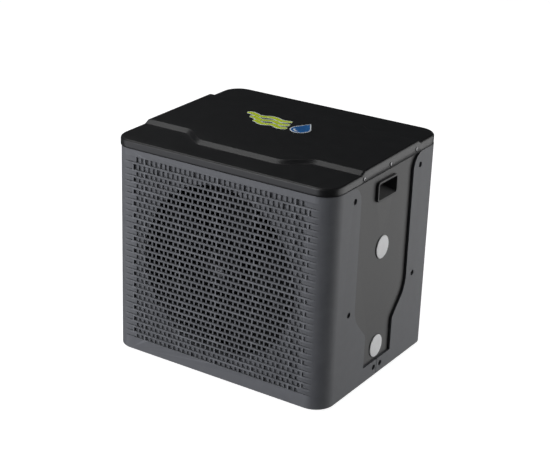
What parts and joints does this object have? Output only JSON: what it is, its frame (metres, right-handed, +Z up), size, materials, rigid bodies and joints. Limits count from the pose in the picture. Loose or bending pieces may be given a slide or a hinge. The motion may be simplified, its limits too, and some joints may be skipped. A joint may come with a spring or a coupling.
{
  "type": "mini pool heat pump",
  "caption": "Compact cube pool heat pump: front fan grille, raised saddle lid, recessed side panels with grip cups, capped water ports and a small button panel.",
  "frame": {"origin": "on the ground under the middle of the casing", "axes": "+Z up, -Y the front with the fan grille, +X the side with the water ports, -X the side with the control panel"},
  "size_m": [0.3672, 0.3, 0.3374],
  "materials": {
    "lid_black": "satin black",
    "casing_grey": "satin anthracite",
    "panel_grey": "satin dark grey",
    "cap_grey": "plain light grey",
    "rubber_black": "matt",
    "bright_steel": "bright zinc",
    "plated_steel": "zinc plated",
    "fan_black": "moulded black",
    "fin_aluminium": "thin fins",
    "copper": "bare copper",
    "compressor_black": "black enamel",
    "pvc_grey": "grey PVC",
    "titanium": "drawn titanium",
    "board_green": "circuit board",
    "sensor_green": "moulded sensor",
    "window_dark": "dark polished window",
    "button_grey": "moulded button"
  },
  "bodies": {
    "housing": {"accumulator": "compressor_black", "accumulator_outlet_pipe": "copper", "base_tray": "plated_steel", "cable_gland": "rubber_black", "capacitor": "plated_steel", "capillary_pipe": "copper", "compressor": "compressor_black", "compressor_grommet_1": "rubber_black", "compressor_grommet_2": "rubber_black", "compressor_grommet_3": "rubber_black", "compressor_terminal_cover": "rubber_black", "control_board": "board_green", "discharge_pipe": "copper", "display_bezel": "panel_grey", "display_board": "board_green", "display_window": "window_dark", "electrical_box": "plated_steel", "electrical_cover": "plated_steel", "evaporator_end_left": "copper", "evaporator_end_right": "copper", "evaporator_fins": "fin_aluminium", "fan_motor": "plated_steel", "fan_shroud": "casing_grey", "filter_drier": "copper", "flow_switch": "sensor_green", "foot_front_left": "rubber_black", "foot_front_right": "rubber_black", "foot_rear_left": "rubber_black", "foot_rear_right": "rubber_black", "front_casing": "casing_grey", "heat_exchanger_cap": "pvc_grey", "heat_exchanger_shell": "pvc_grey", "inlet_socket": "panel_grey", "left_grip_cup": "panel_grey", "left_panel": "panel_grey", "lid": "lid_black", "lid_screw_left_1": "bright_steel", "lid_screw_left_2": "bright_steel", "lid_screw_left_3": "bright_steel", "lid_screw_right_1": "bright_steel", "lid_screw_right_2": "bright_steel", "lid_screw_right_3": "bright_steel", "liquid_pipe": "copper", "motor_bracket": "plated_steel", "outlet_socket": "panel_grey", "rear_casing": "casing_grey", "right_grip_cup": "panel_grey", "right_panel": "panel_grey", "suction_pipe": "copper", "titanium_coil": "titanium"},
    "fan": {"fan_rotor": "fan_black", "fan_nut": "plated_steel", "fan_shaft": "bright_steel"},
    "inlet_cap": {"inlet_cap": "cap_grey"},
    "outlet_cap": {"outlet_cap": "cap_grey"},
    "button_power": {"button_power": "button_grey"},
    "button_mode": {"button_mode": "button_grey"},
    "button_down": {"button_down": "button_grey"},
    "button_up": {"button_up": "button_grey"}
  },
  "joints": [
    {"name": "fan_spin", "type": "hinge", "parent": "housing", "child": "fan", "pos_m": [0, -0.1362, 0.1635], "axis": [0, 1, 0], "continuous": true},
    {"name": "inlet_cap_pull", "type": "slide", "parent": "housing", "child": "inlet_cap", "axis": [1, 0, 0], "range_m": [0, 0.04]},
    {"name": "outlet_cap_pull", "type": "slide", "parent": "housing", "child": "outlet_cap", "axis": [1, 0, 0], "range_m": [0, 0.04]},
    {"name": "button_power_press", "type": "slide", "parent": "housing", "child": "button_power", "axis": [1, 0, 0], "range_m": [0, 0.001], "stiffness_N_per_m": 400},
    {"name": "button_mode_press", "type": "slide", "parent": "housing", "child": "button_mode", "axis": [1, 0, 0], "range_m": [0, 0.001], "stiffness_N_per_m": 400},
    {"name": "button_down_press", "type": "slide", "parent": "housing", "child": "button_down", "axis": [1, 0, 0], "range_m": [0, 0.001], "stiffness_N_per_m": 400},
    {"name": "button_up_press", "type": "slide", "parent": "housing", "child": "button_up", "axis": [1, 0, 0], "range_m": [0, 0.001], "stiffness_N_per_m": 400}
  ]
}
